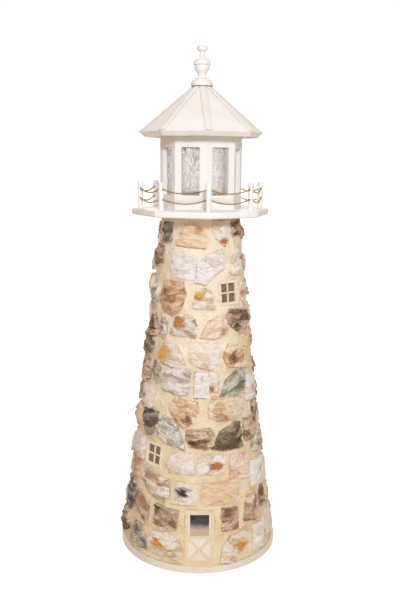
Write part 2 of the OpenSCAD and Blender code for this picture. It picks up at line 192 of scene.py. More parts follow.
def makeStone(kind, look):
    finish = {
        "cloud": 24 * mm, "ragged": 14 * mm, "seam": 9 * mm, "grain": 4.2 * mm,
        "drawn": (0.5, 1.25, 1), "toneSpan": (0.35, 0.47, 0.59),
        "stainFray": 1.6, "stainFrom": 0.8, "stainTo": 1.15,
        "seamSpan": (0.33, 0.43), "seamDark": 0.78,
        "grainSpan": (0.36, 0.5, 0.64), "grainShades": (0.58, 0.98, 1.25), "grainShare": 0.85,
        "film": "#EFDCBC", "filmFray": 0.4, "filmFrom": 1.17, "filmTo": 1.27,
    }
    material, tree, shader = startMaterial("field_" + kind, {"Specular IOR Level": 0.3})[:3]
    # layStone writes four values on each point, in place of Object coordinates: patch is above zero
    # inside the stain, rim goes from 0 mid face to 1 at the joint, facet is one number for each chip,
    # and bed is metres along the bedding
    patch, rim, facet = [addNode(tree, "Attribute", {"attribute_name": name})["Fac"]
                         for name in ("patch", "rim", "facet")]
    bed = addNode(tree, "Attribute", {"attribute_name": "bed"})["Vector"]
    drawn = addNode(tree, "Mapping", {"Scale": finish["drawn"]}, {"Vector": bed})["Vector"]
    cloud = addNode(tree, "TexNoise", {"Scale": 1 / finish["cloud"], "Detail": 8.0, "Roughness": 0.68,
                                       "Distortion": 0.3}, {"Vector": drawn})["Fac"]
    ragged = addNode(tree, "TexNoise", {"Scale": 1 / finish["ragged"], "Detail": 6.0, "Roughness": 0.68},
                     {"Vector": drawn})["Fac"]
    seam = addNode(tree, "TexNoise", {"Scale": 1 / finish["seam"], "Detail": 6.0, "Roughness": 0.66,
                                      "Distortion": 0.4}, {"Vector": drawn})["Fac"]
    grain = addNode(tree, "TexNoise", {"Scale": 1 / finish["grain"], "Detail": 2.0}, {"Vector": bed})["Fac"]
    mixed = addNode(tree, "Math", {"operation": "ADD"}, {0: cloud, 1: facet})["Value"]
    tones = [rgb(tone) for tone in look["tones"]]
    body = addNode(tree, "ValToRGB", {"stops": (finish["toneSpan"], tones)}, {"Fac": mixed})["Color"]
    near = addNode(tree, "Math", {"operation": "MULTIPLY_ADD", 1: finish["stainFray"]},
                   {0: ragged, 2: patch})["Value"]
    where = addNode(tree, "MapRange", {"From Min": finish["stainFrom"], "From Max": finish["stainTo"]},
                    {"Value": near})["Result"]
    stained = addNode(tree, "MixRGB", {"Color2": rgb(look["stain"])}, {"Fac": where, "Color1": body})["Color"]
    shades = [grey(1 - finish["seamDark"] * look["crack"]), grey(1.0)]
    lines = addNode(tree, "ValToRGB", {"stops": (finish["seamSpan"], shades)}, {"Fac": seam})["Color"]
    seamed = addNode(tree, "MixRGB", {"blend_type": "MULTIPLY", "Fac": 1.0},
                     {"Color1": stained, "Color2": lines})["Color"]
    shades = [grey(level) for level in finish["grainShades"]]
    grains = addNode(tree, "ValToRGB", {"stops": (finish["grainSpan"], shades)}, {"Fac": grain})["Color"]
    gritty = addNode(tree, "MixRGB", {"blend_type": "MULTIPLY", "Fac": finish["grainShare"] * look["grit"]},
                     {"Color1": seamed, "Color2": grains})["Color"]
    edge = addNode(tree, "Math", {"operation": "MULTIPLY_ADD", 1: finish["filmFray"]},
                   {0: ragged, 2: rim})["Value"]
    film = addNode(tree, "MapRange", {"From Min": finish["filmFrom"], "From Max": finish["filmTo"]},
                   {"Value": edge})["Result"]
    filmed = addNode(tree, "MixRGB", {"Color2": rgb(finish["film"])},
                     {"Fac": film, "Color1": gritty})["Color"]
    rough = addNode(tree, "MapRange", {"To Min": 0.55, "To Max": 0.9}, {"Value": cloud})["Result"]
    coarse = addNode(tree, "Bump", {"Strength": 1.0, "Distance": 7 * mm}, {"Height": seam})["Normal"]
    fine = addNode(tree, "Bump", {"Strength": 0.6, "Distance": 1.2 * mm},
                   {"Height": grain, "Normal": coarse})["Normal"]
    feed(tree, shader, {"Base Color": filmed, "Roughness": rough, "Normal": fine})
    return material


stoneMaterials = {kind: makeStone(kind, look) for kind, look in stoneKinds.items()}


# Brass bead chain: the beads keep some of their warm shine, and the pins between are painted near black
# brown, as painted shade in the gaps between the beads.
def makeBrass(name, worn, clean):
    finish = {"tarnish": 9 * mm, "span": (0.35, 0.6), "dull": 0.45, "bright": 0.25}
    material, tree, shader, place = startMaterial(name, {"Metallic": 1.0})
    tarnish = addNode(tree, "TexNoise", {"Scale": 1 / finish["tarnish"], "Detail": 3.0},
                      {"Vector": place})["Fac"]
    tone = addNode(tree, "ValToRGB", {"stops": (finish["span"], [rgb(worn), rgb(clean)])},
                   {"Fac": tarnish})["Color"]
    rough = addNode(tree, "MapRange", {"To Min": finish["dull"], "To Max": finish["bright"]},
                    {"Value": tarnish})["Result"]
    feed(tree, shader, {"Base Color": tone, "Roughness": rough})
    return material


beadBrass = makeBrass("worn_brass_bead", "#926D31", "#C19A50")
# painted shade: the pins' dark brown stands for the shade in the gaps between the beads
pinShadeBrass = makeBrass("brass_pin_painted_dark", "#38280F", "#5A4119")


# Bare pine end grain with squeezed-out glue: honey brown, darker in streaks, and also painted shade for the
# shadow in the joint.
def makeJointGlueAndShade():
    finish = {"streak": 5 * mm, "span": (0.35, 0.65), "tones": ("#8A6330", "#C79A52")}
    material, tree, shader, place = startMaterial("glued_pine_painted_shade", {"Roughness": 0.6})
    streak = addNode(tree, "TexNoise", {"Scale": 1 / finish["streak"], "Detail": 3.0},
                     {"Vector": place})["Fac"]
    tones = [rgb(tone) for tone in finish["tones"]]
    tone = addNode(tree, "ValToRGB", {"stops": (finish["span"], tones)}, {"Fac": streak})["Color"]
    feed(tree, shader, {"Base Color": tone})
    return material


jointGlueAndShade = makeJointGlueAndShade()


# Rolled glass: clear, its outer face drawn into long soft ripples that bend what shows behind it. It
# is partly see-through by alpha, so that daylight reaches the room behind.
def makeRolledGlass(name, depth):
    finish = {"tint": "#F7F3EF", "ripple": 10 * mm, "stretch": 0.33}
    material, tree, shader, place = startMaterial(name, {
        "Base Color": rgb(finish["tint"]), "Roughness": 0.03, "IOR": 1.5, "Transmission Weight": 1.0,
        "Alpha": 0.7})
    along = addNode(tree, "Mapping", {"Scale": (1, 1, finish["stretch"])}, {"Vector": place})["Vector"]
    ripple = addNode(tree, "TexNoise", {"Scale": 1 / finish["ripple"], "Detail": 1.5, "Distortion": 1.4},
                     {"Vector": along})["Fac"]
    bump = addNode(tree, "Bump", {"Strength": 1.0, "Distance": depth}, {"Height": ripple})["Normal"]
    feed(tree, shader, {"Normal": bump})
    return material


# Sheet glass with a film of dust: the dust catches light in specks and patches, and the rest is clear. Where
# the film is thick and brown, it paints the dim room behind as painted shade. Below a wavering line at a
# given height, a tan film paints a pool of light, standing for the lit floor seen behind the glass.
def makeSheetGlass(name, colour, thin, thick, paintedPoolTop):
    finish = {"dustAndShade": 9 * mm, "dustAndShadeFrom": 0.35, "dustAndShadeTo": 0.65, "waver": 20 * mm, "paintedPoolTone": "#D0B9A2",
              "paintedPoolCover": 0.85}
    material, tree, shader, place = startMaterial(name, {"Roughness": 0.12, "IOR": 1.45})
    dustAndShade = addNode(tree, "TexNoise", {"Scale": 1 / finish["dustAndShade"], "Detail": 6.0, "Roughness": 0.7},
                   {"Vector": place})["Fac"]
    film = addNode(tree, "MapRange", {"From Min": finish["dustAndShadeFrom"], "From Max": finish["dustAndShadeTo"],
                                      "To Min": thin, "To Max": thick}, {"Value": dustAndShade})["Result"]
    # painted light: below the wavering line the glass turns tan and mostly opaque, for the lit floor behind
    # it
    height = addNode(tree, "SeparateXYZ", {}, {"Vector": place})["Z"]
    line = addNode(tree, "Math", {"operation": "MULTIPLY_ADD", 1: finish["waver"]},
                   {0: dustAndShade, 2: height})["Value"]
    paintedPool = addNode(tree, "MapRange", {"From Min": paintedPoolTop + finish["waver"], "From Max": paintedPoolTop},
                     {"Value": line})["Result"]
    tone = addNode(tree, "MixRGB", {"Color1": rgb(colour), "Color2": rgb(finish["paintedPoolTone"])},
                   {"Fac": paintedPool})["Color"]
    poolCover = addNode(tree, "Math", {"operation": "MULTIPLY", 1: finish["paintedPoolCover"]}, {0: paintedPool})["Value"]
    alpha = addNode(tree, "Math", {"operation": "MAXIMUM"}, {0: film, 1: poolCover})["Value"]
    feed(tree, shader, {"Base Color": tone, "Alpha": alpha})
    return material


# the painted pool of light on the door glass reaches up to this share of the pane's height
glazing = {"rippleDepth": 4.5 * mm, "plainDepth": 0.3 * mm, "paintedPoolShare": 0.45}  # of the pane's height
doorLow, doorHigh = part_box("door_pane")
paintedPoolLine = doorLow[2] + glazing["paintedPoolShare"] * (doorHigh[2] - doorLow[2])
rippleGlass = makeRolledGlass("rolled_ripple_glass", glazing["rippleDepth"])
plainGlass = makeRolledGlass("rolled_glass_back", glazing["plainDepth"])
doorGlass = makeSheetGlass("dusty_glass_painted_light", "#8C857D", thin=0.02, thick=0.2, paintedPoolTop=paintedPoolLine)
# painted shade: a thick brown film, nearly opaque in patches, paints the dim room seen through the windows
windowGlass = makeSheetGlass("window_pane_painted_shade", "#97775E", thin=0.35, thick=0.95, paintedPoolTop=0)
print("materials made:", len(bpy.data.materials))


# Where things are on the tower, read from the frame

def measureWall():  # heights and outer radii of the masonry, from the segment that has no opening
    facing = 0.8  # a normal this near to outward is on the outer face
    rings = {}
    for vert in nodes["tower_wall_back"].data.vertices:
        out = Vector((vert.co.x, vert.co.y, 0))
        if vert.normal.dot(out.normalized()) > facing:
            rings[round(vert.co.z / mm)] = out.length
    return sorted((height * mm, radius) for height, radius in rings.items())


wallRings = measureWall()


def wallRadius(z):
    for (lowZ, lowR), (highZ, highR) in zip(wallRings, wallRings[1:]):
        if z <= highZ:
            return lowR + (highR - lowR) * (z - lowZ) / (highZ - lowZ)
    return wallRings[-1][1]


def wallLean(z, reach=20 * mm):
    return math.atan((wallRadius(z - reach) - wallRadius(z + reach)) / (2 * reach))


def cornersFrom(place, name):  # a solid's lowest and highest corners as measured from a place on the wall
    local = [place.inverted() @ vert.co for vert in nodes[name].data.vertices]
    return [Vector([pick(v[i] for v in local) for i in range(3)]) for pick in (min, max)]


def findOpening(name):  # a frame's place on the wall, and its corners as measured from there
    low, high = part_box(name)
    middle = (Vector(low) + Vector(high)) / 2
    turn = math.atan2(middle.x, -middle.y)
    place = (Matrix.Rotation(turn, 4, "Z") @ Matrix.Translation((0, -wallRadius(middle.z), middle.z))
             @ Matrix.Rotation(-wallLean(middle.z), 4, "X"))
    low, high = cornersFrom(place, name)
    return {"place": place, "low": low, "high": high}


openings = {name: findOpening(name) for name in ("door_casing", "upper_window_frame", "lower_window_frame")}


def addPiece(name, bm, materials, smooth=None):  # a finished piece at the origin, riding on the part
    mesh = bpy.data.meshes.new(name)
    for face in bm.faces:
        face.smooth = smooth is not None
    bm.to_mesh(mesh)
    bm.free()
    if smooth is not None:
        mesh.set_sharp_from_angle(angle=math.radians(smooth))
    for material in materials:
        mesh.materials.append(material)
    piece = bpy.data.objects.new(name, mesh)
    scene.collection.objects.link(piece)
    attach(piece, "root")
    return piece


# Field stones, split square and laid in rough courses.
# Corners of a stone's face in half widths and half heights, going round from the lower left.
outlines = {
    "block": [(-1, -0.9), (0.9, -1), (1, 0.85), (-0.9, 1)],
    "slab": [(-1, -0.9), (0.1, -1), (1, -0.8), (0.9, 0.2), (0.7, 1), (-0.95, 0.85)],
    "loaf": [(-1, -0.8), (0.9, -1), (1, -0.2), (0.75, 0.6), (0.2, 1), (-0.65, 0.8)],
    "keystone": [(-0.65, -0.4), (0.1, -1), (0.55, -0.8), (1, 0.3), (0.85, 0.95), (-0.75, 1), (-1, 0.35)],
    "wedge": [(-0.75, -0.55), (0.25, -0.9), (1, -1), (0.75, -0.1), (0.4, 0.65), (-0.5, 1), (-1, 0.1)],
    "shard": [(-1, -0.85), (-0.2, -1), (1, -0.8), (0.95, 0.9), (0.55, 1), (-0.5, 0.35)],
    "slant": [(-0.9, 0.05), (-0.1, -0.5), (0.75, -1), (1, -0.5), (0.9, 0.45), (-0.7, 1), (-1, 0.8)],
    "shield": [(-0.65, -0.75), (0.35, -1), (0.9, -0.5), (1, 0.3), (0.8, 1), (-0.95, 0.95), (-1, 0)],
    "diagonal": [(-1, -0.85), (-0.3, -1), (0.15, -0.5), (0.95, -0.05), (1, 1), (-0.3, 0.7), (-0.85, 0.1)],
    "boot": [(-0.8, -0.7), (0.4, -1), (0.95, -0.8), (1, 0.9), (0.1, 1), (-0.5, 0.75), (-1, -0.1)],
    "boulder": [(-0.8, -0.7), (0, -1), (0.75, -0.75), (1, 0), (0.7, 0.8),
                (-0.1, 1), (-0.8, 0.65), (-1, -0.1)],
}
# Front stones, from the foot up: kind, outline, turn from the door in degrees, then height, width
# and tall in mm. A width below zero turns the outline left for right. The last three place the
# stained patch: across and up in half sizes, and its reach.
frontStones = [
    ("greyGranite", "wedge", -52, 75, 86, 72),
    ("goldQuartz", "loaf", -27, 76, 120, 82, -0.3, -0.1, 0.5),
    ("goldQuartz", "diagonal", 27, 70, 98, 92, 0.4, -0.05, 0.55),
    ("quartz", "block", 53, 76, 76, 78),
    ("brownStone", "boulder", -75, 90, 72, 80),
    ("creamStone", "block", 76, 85, 76, 80),
    ("slate", "boulder", -70, 178, 60, 100),
    ("mauveStone", "slant", -51, 166, 60, 90),
    ("rustStone", "block", -27, 156, 80, 64, -0.7, 0.7, 0.5),
    ("mauveStone", "block", 24, 153, 58, 72, -0.3, 0.55, 0.5),
    ("mauveStone", "loaf", 45, 172, 64, 92, 0.2, 0.3, 0.2),
    ("brownStone", "boulder", 64, 178, 54, 76),
    ("lilacQuartz", "slant", -40, 246, 112, 90, 0.3, 0.5, 0.35),
    ("sootyStone", "block", -12, 236, 80, 66, -0.15, 0.1, 0.55),
    ("sandstone", "slab", 18, 236, 118, 70, 0.6, 0.2, 0.1),
    ("quartz", "block", 58, 264, 86, 84, 0.3, 0.3, 0.3),
    ("redStone", "shard", -69, 268, 56, 66),
    ("quartz", "block", -66, 340, 68, 76),
    ("creamStone", "loaf", -15, 325, -82, 70, 0, 0, -0.2),
    ("rustyQuartz", "block", 9, 321, 82, 60, 0.35, -0.1, 0.6),
    ("pinkStone", "block", 35, 304, 68, 76, 0.6, 0.4, 0.3),
    ("granite", "boulder", 63, 350, 70, 62),
    ("slate", "keystone", -54, 421, 80, 80, 0.4, 0.2, 0.4),
    ("granite", "wedge", -28, 412, 92, 92, 0, 0, -0.3),
    ("rustStone", "shield", 0, 397, 80, 58, -0.5, -0.3, 0.5),
    ("oliveStone", "shard", 25, 400, 98, 82, 0.2, 0.1, 0.3),
    ("rustStone", "block", 50, 408, 48, 70),
    ("sandstone", "boulder", -75, 428, 60, 70),
    ("rustSandstone", "keystone", -15, 471, 86, 76, 0.3, -0.35, 0.4),
    ("rustSandstone", "shield", 25, 478, -112, 76, 0.6, 0, 0.1),
    ("rustyQuartz", "block", -60, 500, 74, 62, -0.1, 0, 0.4),
    ("brownStone", "boulder", 68, 458, 56, 66),
    ("lilacStone", "boot", -26, 564, 94, 82, 0, 0, -0.3),
    ("quartz", "block", 1, 556, 40, 76, 0, 0.4, 0.3),
    ("rustyQuartz", "block", 13, 564, 32, 58, -0.4, -0.6, 0.5),
    ("mossStone", "shard", 34, 553, 90, 80, 0.5, 0.2, 0.3),
    ("quartz", "block", 58, 530, 60, 80),
    ("mossStone", "slant", -50, 578, 34, 66),
    ("rustStone", "boulder", -68, 570, 56, 70),
    ("oliveStone", "boulder", -70, 654, 60, 68),
    ("ochreStone", "wedge", -31, 637, 88, 76, -0.6, 0.1, 0.75),
    ("creamStone", "shield", 4, 638, 90, 76, 0, -0.8, 0.4),
    ("rustSandstone", "wedge", 39, 630, 84, 82, -0.2, -0.1, 0.5),
    ("sandstone", "boulder", 62, 650, 60, 62),
    ("redStone", "shard", -60, 716, -40, 68, 0, 0, 0.9),
    ("lilacStone", "slant", -45, 714, 30, 66),
    ("lilacQuartz", "loaf", -18, 725, 78, 68, -0.4, 0.25, 0.65),
    ("pinkStone", "shard", 15, 723, 82, 70, 0.6, -0.4, 0.4),
    ("brownStone", "keystone", 47, 730, 92, 72, -0.4, -0.2, 0.4),
    ("granite", "boulder", -68, 802, 46, 74),
    ("redStone", "shield", -36, 802, 84, 98, -0.6, 0.3, 0.3),
    ("goldQuartz", "loaf", 3, 802, 66, 62, -0.4, 0.15, 0.5),
    ("pinkStone", "boulder", 65, 806, 44, 62),
    ("brownStone", "boulder", -64, 922, 46, 62),
    ("quartz", "block", -22, 892, 74, 72, 0, 0.9, 0.3),
    ("quartz", "diagonal", 11, 894, 82, 98, 0.4, -0.5, 0.2),
    ("rustyQuartz", "shard", 48, 905, 54, 78, 0.9, 0.2, 0.4),
    ("slate", "block", -51, 990, 40, 58),
    ("sandstone", "loaf", -12, 980, 86, 64, 0.5, 0.8, 0.5),
    ("rustyQuartz", "keystone", 28, 988, 58, 72, 0.1, -0.7, 0.5),
    ("brownStone", "block", 56, 1002, 46, 50),
]
stones = {
    "seed": 27, "courses": 12, "first": 78, "pitch": 82, "stray": 7,  # the courses of the unseen side
    "width": (58, 104), "least": 26, "tall": (58, 76), "joint": (12, 20), "grow": 1.03,
    "proud": (12, 21), "lowest": 2.5, "root": 8, "roll": 4, "drift": 50,  # in mm, and the roll in degrees
    # the outline and the sides: points a side, where the face ends, and how the rim is nicked
    "grid": 36, "edge": 0.84, "taper": 1.0, "flare": 0.95, "nick": 0.07, "nickSize": 3.0,
    # the face: how far it domes, and the split planes' slopes and rises
    "dome": (0.0, 0.22), "tiltAcross": 0.2, "tiltUp": 0.15,
    "splits": 3, "splitSlope": 0.5, "splitRise": (0.1, 0.3),
    # its chips: how large and long, how far each tilts, steps and differs in tone, the tone darker where a
    # chip sits lower, as painted shade
    "chip": 17, "chipLong": 2, "chipTilt": 0.9, "chipStep": 2.2, "chipToneAndShade": 0.3, "chipLeast": 0.3,
    "tiltScale": 3.7, "toneScale": 5.3, "rough": 0.9, "roughSize": 5,
    "bedding": 0.6, "patchSpread": 0.6, "patchReach": (-0.1, 0.5),  # the bedding's turn in radians
    # where the photograph's outline is flatter: turns from and to, lowest height, share of the proud
    "flatter": [(60, 115, 0, 0.45), (60, 115, 940, 0.4), (-115, -55, 940, 0.35)], "flattest": 5.5,
}


def fillCourse(height, dice):  # goes on round the side that the front stones leave bare
    radius = wallRadius(height * mm) / mm
    beside = [(row[2], math.degrees(abs(row[4]) / 2 / radius)) for row in frontStones
              if abs(row[3] - height) < (row[5] + stones["tall"][0]) / 2]
    turn = max(middle + half for middle, half in beside)
    last = 360 + min(middle - half for middle, half in beside)
    course = []
    while turn < last:
        turn += math.degrees(dice.uniform(*stones["joint"]) / radius)
        room = math.radians(last - turn) * radius - stones["joint"][0]
        width = min(dice.uniform(*stones["width"]), room)
        if width <= stones["least"]:
            break
        half = math.degrees(width / 2 / radius)
        course.append((dice.choice(list(stoneKinds)), dice.choice(list(outlines)), turn + half,
                       height + dice.uniform(-1, 1) * stones["stray"], width * dice.choice((-1, 1)),
                       dice.uniform(*stones["tall"])))
        turn += 2 * half
    return course


def planStones(dice):  # every stone's kind, outline, place, size and patch
    plan = list(frontStones)
    for course in range(stones["courses"]):
        plan += fillCourse(stones["first"] + stones["pitch"] * course, dice)
    slope = stones["splitSlope"]
    made = []

    def either(name):  # a draw from minus to plus the value
        return dice.uniform(-stones[name], stones[name])

    for kind, shape, turn, height, width, tall, *patch in sorted(plan, key=lambda row: row[3]):
        if not patch:
            patch = [either("patchSpread"), either("patchSpread"), dice.uniform(*stones["patchReach"])]
        proud = dice.uniform(*stones["proud"])
        for start, end, above, share in stones["flatter"]:
            if start < (turn + 180) % 360 - 180 < end and height > above:
                proud = max(proud * share, stones["flattest"])
        made.append({
            "kind": kind, "corners": outlines[shape], "turn": math.radians(turn), "height": height,
            "half": Vector((width, tall)) * stones["grow"] / 2, "patch": patch, "proud": proud,
            "roll": Matrix.Rotation(math.radians(dice.uniform(-1, 1) * stones["roll"]), 2),
            "grain": Matrix.Rotation(either("bedding"), 2), "dome": dice.uniform(*stones["dome"]),
            "drift": Vector([either("drift") for i in range(3)]),
            # split planes: rise and slopes, the lowest of which makes the face at each point
            "splits": [(0.0, either("tiltAcross"), either("tiltUp"))] + [
                (dice.uniform(*stones["splitRise"]), slope * math.cos(way), slope * math.sin(way))
                for way in [dice.uniform(0, 2 * math.pi) for i in range(stones["splits"])]],
        })
    return made


def outlineReach(stone, way):  # how far the outline lies from the middle, along a direction
    parallel, slack = 1e-9, 1e-6  # a side along the direction is passed over, and corners count
    corners = stone["corners"]
    reach = 1.0
    for (ax, az), (bx, bz) in zip(corners, corners[1:] + corners[:1]):
        dx, dz = bx - ax, bz - az
        facing = way.x * dz - way.y * dx
        if abs(facing) > parallel:
            far = (ax * dz - az * dx) / facing
            share = (ax * way.y - az * way.x) / facing
            if far > 0 and -slack <= share <= 1 + slack:
                reach = far
                break
    nick = noise.noise(Vector((way.x, way.y, 0)) * stones["nickSize"] + stone["drift"])
    return reach * (1 + stones["nick"] * nick)


noise.seed_set(stones["seed"])  # noise vectors otherwise start from the clock
stonePlan = planStones(random.Random(stones["seed"]))


# Mortar: a skin over the masonry, uneven as a sponged wall is, and drawn up against each stone
mortar = {"grid": 5.5 * mm, "rise": 0.8 * mm, "least": 0.2 * mm, "swell": 1.8 * mm, "swellSize": 55 * mm,
          "ripple": 1.9 * mm, "rippleSize": 15 * mm, "thick": 4 * mm, "lap": 3 * mm,
          "draw": 0.14, "drawReach": 8}  # the reach in mm


def insideOpening(point, lap):
    deep = wallRings[-1][1] / 2  # on the opening's own side of the tower
    for hole in openings.values():
        local = hole["place"].inverted() @ point
        if (hole["low"].x + lap < local.x < hole["high"].x - lap and abs(local.y) < deep
                and hole["low"].z + lap < local.z < hole["high"].z - lap):
            return True
    return False


def drawnUp(point, nearby):  # how far mortar climbs the stones beside this point, in mm
    climb = 0.0
    angle = math.atan2(point.x, -point.y)
    for stone in nearby:
        turn = (angle - stone["turn"] + math.pi) % (2 * math.pi) - math.pi
        flat = Vector((turn * wallRadius(stone["height"] * mm) / mm, point.z / mm - stone["height"]))
        if abs(flat.x) < abs(stone["half"].x) + mortar["drawReach"]:
            flat = stone["roll"].inverted() @ flat
            unit = Vector((flat.x / stone["half"].x, flat.y / stone["half"].y))
            if unit.length:
                gap = flat.length * (1 - outlineReach(stone, unit.normalized()) / unit.length)
                climb = max(climb, stone["proud"] * mortar["draw"] * (1 - abs(gap) / mortar["drawReach"]))
    return climb


def makeMortarSkin():
    bottom, top = wallRings[0][0], wallRings[-1][0]
    rows = round((top - bottom) / mortar["grid"])
    columns = round(2 * math.pi * wallRadius((bottom + top) / 2) / mortar["grid"])
    bm = bmesh.new()
    line = []
    for row in range(rows + 1):
        z = bottom + (top - bottom) * row / rows
        line.append(bm.verts.new((0, -wallRadius(z), z)))
    edges = [bm.edges.new(pair) for pair in zip(line, line[1:])]
    bmesh.ops.spin(bm, geom=line + edges, cent=(0, 0, 0), axis=(0, 0, 1), angle=2 * math.pi,
                   steps=columns, use_merge=True)
    holes = [face for face in bm.faces if insideOpening(face.calc_center_median(), mortar["lap"])]
    bmesh.ops.delete(bm, geom=holes, context="FACES")
    rowsOf = {}
    for vert in bm.verts:
        rowsOf.setdefault(round(vert.co.z / mm, 1), []).append(vert)
    for height, verts in rowsOf.items():
        nearby = [stone for stone in stonePlan
                  if abs(height - stone["height"]) < stone["half"].y + mortar["drawReach"]]
        for vert in verts:
            if not insideOpening(vert.co, -mortar["grid"]):
                out = Vector((vert.co.x, vert.co.y, 0)).normalized()
                swell = mortar["swell"] * noise.noise(vert.co / mortar["swellSize"])
                ripple = mortar["ripple"] * noise.noise(vert.co / mortar["rippleSize"])
                lift = mortar["rise"] + swell + ripple + drawnUp(vert.co, nearby) * mm
                vert.co += out * max(lift, mortar["least"])
    bmesh.ops.recalc_face_normals(bm, faces=bm.faces)
    skin = addPiece("mortar_skin", bm, [limeMortar], smooth=60)
    shell = skin.modifiers.new("thickness", "SOLIDIFY")
    shell.thickness = mortar["thick"]
    shell.offset = -1


makeMortarSkin()
print("mortar laid")


def chipped(spot, stone):  # a broken face: each chip of it has a tilt, a step and a tone of its own, and a lower chip is painted darker as shade
    point = Vector((spot.x / stones["chipLong"], spot.y, 0)) / stones["chip"] + stone["drift"]
    middle = noise.voronoi(point)[1][0]
    tilt = noise.noise_vector(middle * stones["tiltScale"])
    own = noise.noise(middle * stones["toneScale"])
    rise = stones["chipTilt"] * stones["chip"] * (point - middle).dot(tilt) + stones["chipStep"] * own
    least = stones["chipLeast"]  # kinds with strong seams break more
    return rise * (least + (1 - least) * stoneKinds[stone["kind"]]["crack"]), stones["chipToneAndShade"] * own


def layStone(bm, stone, kindIndex, layers):
    sheet = bmesh.ops.create_grid(bm, x_segments=stones["grid"], y_segments=stones["grid"], size=1.0)["verts"]
    radius = wallRadius(stone["height"] * mm)
    across, up, reachOut = stone["patch"]
    for vert in sheet:
        ring = max(abs(vert.co.x), abs(vert.co.y))
        way = Vector((vert.co.x, vert.co.y)).normalized() if ring else Vector((1, 0))
        side = max(0.0, (ring - stones["edge"]) / (1 - stones["edge"]))
        rim = min(ring / stones["edge"], 1.0)
        share = rim * stones["taper"] + side * (stones["flare"] - stones["taper"])
        unit = way * outlineReach(stone, way) * share
        flat = stone["roll"] @ Vector((unit.x * stone["half"].x, unit.y * stone["half"].y))
        spot = stone["grain"] @ flat
        rise, tone = chipped(spot, stone)
        split = min(lift - slopeX * unit.x - slopeZ * unit.y for lift, slopeX, slopeZ in stone["splits"])
        face = stone["proud"] * (1 + split - stone["dome"] * share * share) + rise
        rough = noise.noise(Vector((flat.x, flat.y, 0)) / stones["roughSize"] + stone["drift"])
        face += stones["rough"] * rough
        out = max(face, stones["lowest"]) * (1 - side) - stones["root"] * side
        vert[layers["patch"]] = reachOut - (unit - Vector((across, up))).length
        vert[layers["rim"]] = rim
        vert[layers["facet"]] = tone
        vert[layers["bed"]] = Vector((spot.x, spot.y, out)) * mm + stone["drift"]
        z = min(max((stone["height"] + flat.y) * mm, wallRings[0][0]), wallRings[-1][0])
        angle = stone["turn"] + flat.x * mm / radius
        away = wallRadius(z) + out * mm
        vert.co = (away * math.sin(angle), -away * math.cos(angle), z)
    for face in {face for vert in sheet for face in vert.link_faces}:
        face.material_index = kindIndex


def layStones():
    kinds = list(stoneKinds)
    names = ("lower_stones", "middle_stones", "upper_stones")
    share = math.ceil(len(stonePlan) / len(names))
    for group, name in enumerate(names):
        bm = bmesh.new()
        layers = {key: bm.verts.layers.float.new(key) for key in ("patch", "rim", "facet")}
        layers["bed"] = bm.verts.layers.float_vector.new("bed")
        for stone in stonePlan[group * share:(group + 1) * share]:
            layStone(bm, stone, kinds.index(stone["kind"]), layers)
        bmesh.ops.holes_fill(bm, edges=[edge for edge in bm.edges if edge.is_boundary])
        bmesh.ops.recalc_face_normals(bm, faces=bm.faces)
        addPiece(name, bm, [stoneMaterials[kind] for kind in kinds], smooth=30)
    print("stones laid:", len(stonePlan))


layStones()


# Boards and turned work: copies of the solids with their arrises eased
eases = {"board": 1.2 * mm, "deck": 2.0 * mm, "post": 0.8 * mm, "frame": 0.8 * mm, "strip": 0.6 * mm,
         "merge": 0.005 * mm, "flat": 0.5, "sharp": 28, "smooth": 22}  # the last three in degrees


def copySolid(name):  # a solid's mesh with its loose triangles joined
    bm = bmesh.new()
    bm.from_mesh(nodes[name].data)
    bmesh.ops.remove_doubles(bm, verts=bm.verts, dist=eases["merge"])
    return bm


def easedCopy(name, ease, material, segments=2):
    bm = copySolid(name)
    bmesh.ops.dissolve_limit(bm, angle_limit=math.radians(eases["flat"]), verts=bm.verts, edges=bm.edges)
    sharp = math.radians(eases["sharp"])
    arrises = [edge for edge in bm.edges if edge.is_manifold and edge.calc_face_angle() > sharp]
    bmesh.ops.bevel(bm, geom=arrises, offset=ease, offset_type="OFFSET", affect="EDGES", segments=segments,
                    profile=0.5, material=-1, clamp_overlap=True)
    piece = addPiece(name + "_eased", bm, [material], smooth=eases["smooth"])
    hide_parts(name)


for i in range(1, 9):
    easedCopy(f"lantern_panel_{i}", eases["board"], boardEnamel)
    easedCopy(f"roof_panel_{i}", eases["board"], boardEnamel)
    easedCopy(f"rail_post_{i}", eases["post"], boardEnamel)
easedCopy("gallery_deck", eases["deck"], boardEnamel, segments=3)
easedCopy("base_plate", eases["board"], plateEnamel)
easedCopy("door_casing", eases["frame"], trimEnamel)
easedCopy("door_leaf", eases["strip"], doorEnamel)
easedCopy("door_crossbuck", eases["strip"], trimEnamel)
for name in ("upper_window_frame", "lower_window_frame"):
    easedCopy(name, eases["frame"], sashEnamel)
print("boards eased")


def dress(name, material):  # a solid that shows as it is
    mesh = nodes[name].data
    mesh.materials.clear()
    mesh.materials.append(material)


for name in nodes:
    if name.startswith("tower_wall"):
        dress(name, limeMortar)
dress("door_pane", doorGlass)
for name in ("upper_window_pane", "lower_window_pane"):
    dress(name, windowGlass)


# Lantern panes: each sheet is rolled on its outer face and plain inside
def makeLanternPanes():
    facing = 0.9  # a normal this near to outward is on an outer face
    bm = copySolid("lantern_panes")
    for face in bm.faces:
        middle = face.calc_center_median()
        out = Vector((middle.x, middle.y, 0)).normalized()
        face.material_index = 0 if face.normal.dot(out) > facing else 1
    piece = addPiece("lantern_panes_rolled", bm, [rippleGlass, plainGlass])
    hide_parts("lantern_panes")


makeLanternPanes()


